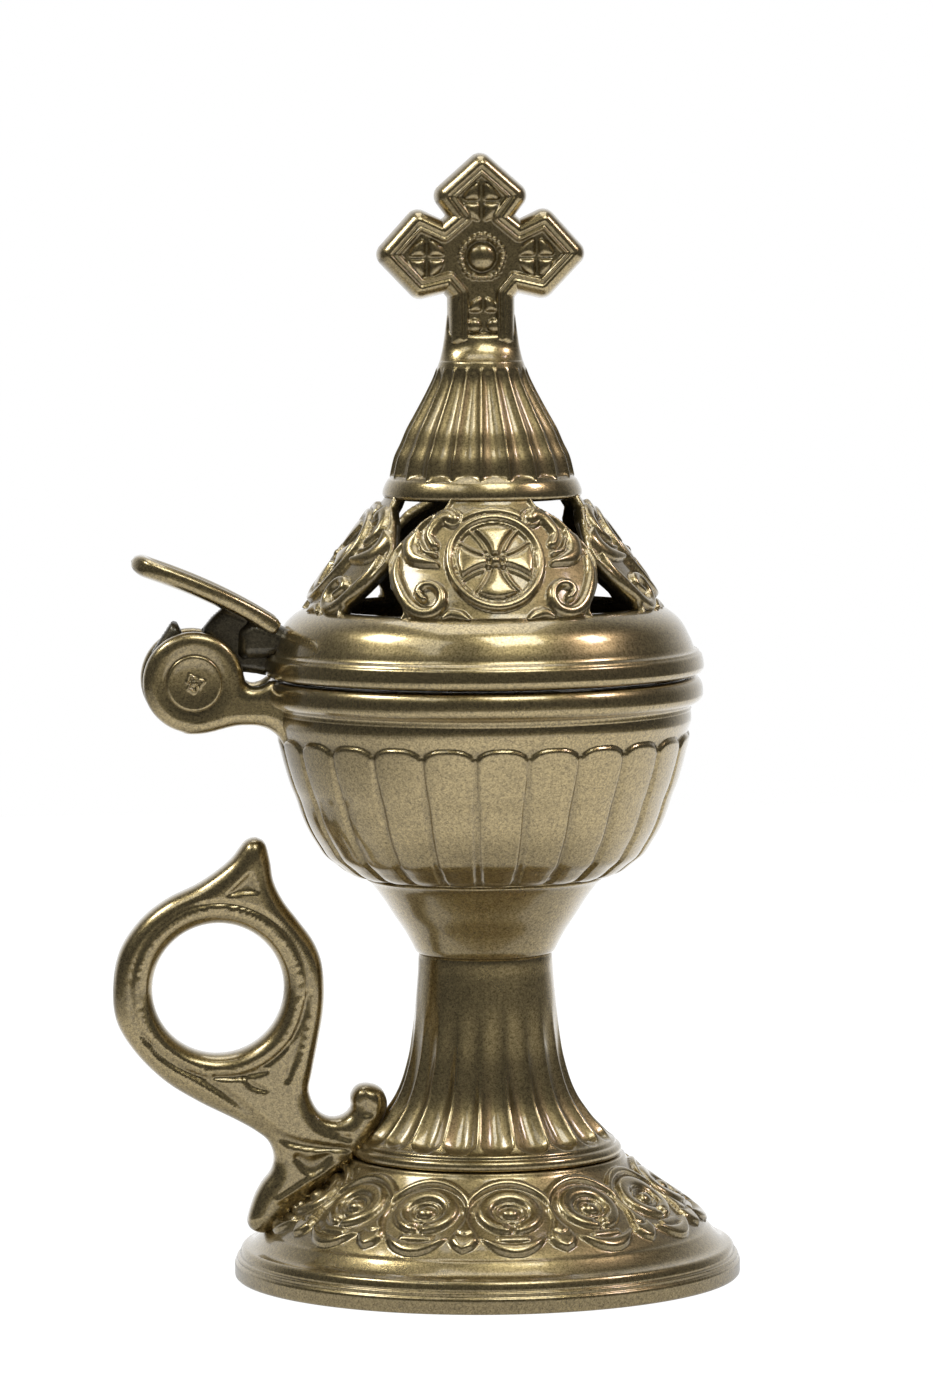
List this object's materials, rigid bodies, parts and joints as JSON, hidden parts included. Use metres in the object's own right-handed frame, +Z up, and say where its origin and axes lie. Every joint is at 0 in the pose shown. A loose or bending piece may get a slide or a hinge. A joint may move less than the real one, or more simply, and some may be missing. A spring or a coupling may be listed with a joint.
{
  "type": "hand censer",
  "caption": "Standing home censer: domed foot, fluted stem, gadrooned fire bowl, hinged pierced lid with cross, thumb lever and finger ring.",
  "frame": {"origin": "on the vessel's axis at the plane of the foot it stands on", "axes": "+Z up along the vessel's axis to the cross; -Y the front, which the cross faces; -X the side of the hinge, thumb lever and finger ring"},
  "size_m": [0.0948, 0.0766, 0.1697],
  "materials": {
    "bronze_enamel": "antique bronze metallic enamel over cast zinc alloy, satin, darker in the recesses",
    "cup_steel": "pressed steel, heat-darkened",
    "fastener_steel": "zinc-plated steel"
  },
  "bodies": {
    "vessel": {"foot": "bronze_enamel", "stem": "bronze_enamel", "bowl": "bronze_enamel", "fire_cup": "cup_steel", "tie_bolt": "fastener_steel", "foot_washer": "fastener_steel", "foot_nut": "fastener_steel", "ring_handle": "bronze_enamel", "handle_screws": "fastener_steel", "hinge_pin": "bronze_enamel", "pin_collar": "bronze_enamel"},
    "lid_group": {"lid": "bronze_enamel", "cross_finial": "bronze_enamel", "finial_screw": "fastener_steel", "thumb_lever": "bronze_enamel", "lever_screws": "fastener_steel"}
  },
  "joints": [
    {"name": "lid_hinge", "type": "hinge", "parent": "vessel", "child": "lid_group", "pos_m": [-0.0439, 0, 0.0908], "axis": [0, -1, 0], "range_deg": [0, 100]}
  ]
}
